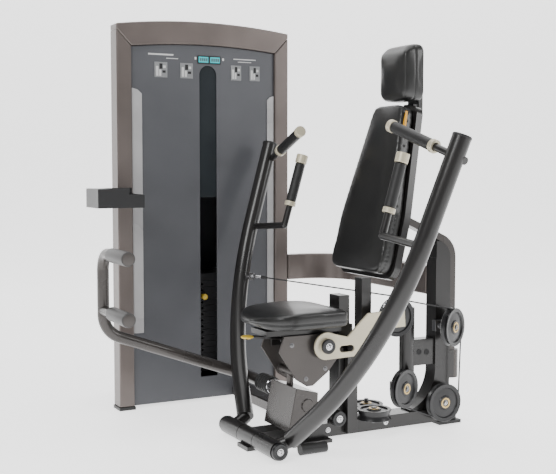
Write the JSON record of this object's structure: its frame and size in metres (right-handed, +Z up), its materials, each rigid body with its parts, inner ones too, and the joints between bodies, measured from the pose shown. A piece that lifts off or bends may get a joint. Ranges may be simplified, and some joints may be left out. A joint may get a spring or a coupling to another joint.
{
  "type": "seated chest press machine",
  "caption": "Seated press machine: two curved press arms pivoting at the base, padded seat and back, foot lever, cable pulleys and a weight tower with guided stack.",
  "frame": {"origin": "on the floor under the base beam, on the bench centreline", "axes": "+X towards the rear upright, +Y from the bench to the weight tower, +Z up"},
  "size_m": [1.275, 1.7324, 1.525],
  "materials": {
    "frame_bronze": "satin metallic bronze powder coat",
    "panel_charcoal": "satin charcoal sheet",
    "light_strip": "satin translucent grey",
    "tinted_window": "tinted clear",
    "plate_print": "printed plate",
    "frame_dark": "satin dark powder coat",
    "band_grey": "satin warm grey powder coat",
    "rubber_black": "moulded rubber",
    "rubber_grey": "moulded grey rubber",
    "chrome": "polished",
    "stack_iron": "black enamel",
    "yellow_plastic": "glossy yellow",
    "pulley_black": "moulded nylon",
    "champagne_metal": "satin champagne coat",
    "sheet_grey": "satin grey-brown sheet",
    "shaft_steel": "dark zinc",
    "pad_leather": "black upholstery leather",
    "cable_black": "coated steel cable"
  },
  "bodies": {
    "frame": {"tower_columns": "frame_bronze", "tower_top_arch": "frame_bronze", "tower_base": "frame_dark", "front_panel": "panel_charcoal", "light_strips": "light_strip", "stack_window": "tinted_window", "header_plates": "plate_print", "rear_shroud": "panel_charcoal", "ground_feet": "rubber_black", "guide_rods": "chrome", "stack_buffers": "rubber_black", "resting_plates": "stack_iron", "crown_pulleys": "pulley_black", "accessory_tray": "pulley_black", "link_beam": "frame_bronze", "floor_tube": "band_grey", "base_beam": "frame_dark", "rear_upright": "frame_dark", "upright_band": "band_grey", "pivot_shaft": "shaft_steel", "linkage_box": "band_grey", "lever_pin": "shaft_steel", "pulley_axles": "shaft_steel", "support_posts": "frame_dark", "side_plates": "sheet_grey", "pulley_bracket": "champagne_metal", "back_shell": "frame_dark", "back_pad": "pad_leather", "headrest_pad": "pad_leather", "floor_pulleys": "pulley_black", "right_arm_cable": "cable_black", "left_arm_cable": "cable_black", "drive_cable": "cable_black", "stack_cable": "cable_black"},
    "lifted_stack": {"lifted_plates": "stack_iron", "stack_top_plate": "stack_iron", "selector_stem": "chrome"},
    "selector_pin": {"selector_pin": "yellow_plastic"},
    "right_arm": {"right_press_arm": "frame_dark", "right_handle_bars": "frame_dark", "right_grips": "rubber_black", "right_collars": "champagne_metal", "right_cable_eye": "chrome"},
    "left_arm": {"left_press_arm": "frame_dark", "left_handle_bars": "frame_dark", "left_grips": "rubber_black", "left_collars": "champagne_metal", "left_cable_eye": "chrome"},
    "seat": {"seat_carrier": "frame_dark", "seat_pad": "pad_leather"},
    "seat_lever": {"seat_lever": "yellow_plastic"},
    "equaliser_wheel": {"equaliser_pulley": "pulley_black"},
    "mid_wheel": {"mid_pulley": "pulley_black"},
    "upper_rear_wheel": {"upper_rear_pulley": "pulley_black"},
    "lower_rear_wheel": {"lower_rear_pulley": "pulley_black"},
    "foot_lever": {"foot_lever": "band_grey", "lever_barrel": "rubber_black"},
    "upper_roller": {"upper_foot_roller": "rubber_grey"},
    "lower_roller": {"lower_foot_roller": "rubber_grey"}
  },
  "joints": [
    {"name": "right_arm_press", "type": "hinge", "parent": "frame", "child": "right_arm", "pos_m": [-0.217, 0, 0.036], "axis": [0, -1, 0], "range_deg": [0, 26], "deforming": ["right_arm_cable"]},
    {"name": "left_arm_press", "type": "hinge", "parent": "frame", "child": "left_arm", "pos_m": [-0.217, 0, 0.036], "axis": [0, -1, 0], "range_deg": [0, 26], "deforming": ["left_arm_cable"]},
    {"name": "stack_lift", "type": "slide", "parent": "frame", "child": "lifted_stack", "axis": [0, 0, 1], "range_m": [0, 0.38], "deforming": ["stack_cable"]},
    {"name": "selector_pin_pull", "type": "slide", "parent": "lifted_stack", "child": "selector_pin", "axis": [0, -1, 0], "range_m": [0, 0.09]},
    {"name": "seat_height", "type": "slide", "parent": "frame", "child": "seat", "axis": [0, 0, 1], "range_m": [0, 0.09]},
    {"name": "seat_lever_push", "type": "hinge", "parent": "seat", "child": "seat_lever", "pos_m": [-0.097, -0.02, 0.368], "axis": [0, -1, 0], "range_deg": [0, 12]},
    {"name": "equaliser_spin", "type": "hinge", "parent": "frame", "child": "equaliser_wheel", "pos_m": [0.324, -0.066, 0.42], "axis": [0, 1, 0], "range_deg": [-5, 330]},
    {"name": "mid_pulley_spin", "type": "hinge", "parent": "frame", "child": "mid_wheel", "pos_m": [0.36, -0.066, 0.158], "axis": [-0.342, 0.9397, 0], "range_deg": [-5, 330]},
    {"name": "upper_rear_spin", "type": "hinge", "parent": "frame", "child": "upper_rear_wheel", "pos_m": [0.547, -0.1, 0.372], "axis": [-0.4226, 0.9063, 0], "range_deg": [-5, 330]},
    {"name": "lower_rear_spin", "type": "hinge", "parent": "frame", "child": "lower_rear_wheel", "pos_m": [0.535, -0.066, 0.089], "axis": [0, 1, 0], "range_deg": [-5, 330]},
    {"name": "foot_lever_press", "type": "hinge", "parent": "frame", "child": "foot_lever", "pos_m": [-0.06, 0.39, 0.16782], "axis": [0, -1, 0], "range_deg": [0, 24], "stiffness_Nm_per_rad": 60, "springref_deg": -34.38},
    {"name": "upper_roller_spin", "type": "hinge", "parent": "foot_lever", "child": "upper_roller", "pos_m": [-0.61, 0.2, 0.65], "axis": [0, 1, 0], "continuous": true},
    {"name": "lower_roller_spin", "type": "hinge", "parent": "foot_lever", "child": "lower_roller", "pos_m": [-0.61, 0.2, 0.447], "axis": [0, 1, 0], "continuous": true}
  ],
  "couplings": [
    {"joint": "left_arm_press", "follows": "right_arm_press", "ratio": 1},
    {"joint": "stack_lift", "follows": "right_arm_press", "m_per_rad": 0.83656},
    {"joint": "equaliser_spin", "follows": "right_arm_press", "ratio": 12.341},
    {"joint": "mid_pulley_spin", "follows": "right_arm_press", "ratio": 12.341},
    {"joint": "upper_rear_spin", "follows": "right_arm_press", "ratio": 12.341},
    {"joint": "lower_rear_spin", "follows": "right_arm_press", "ratio": 12.341}
  ]
}
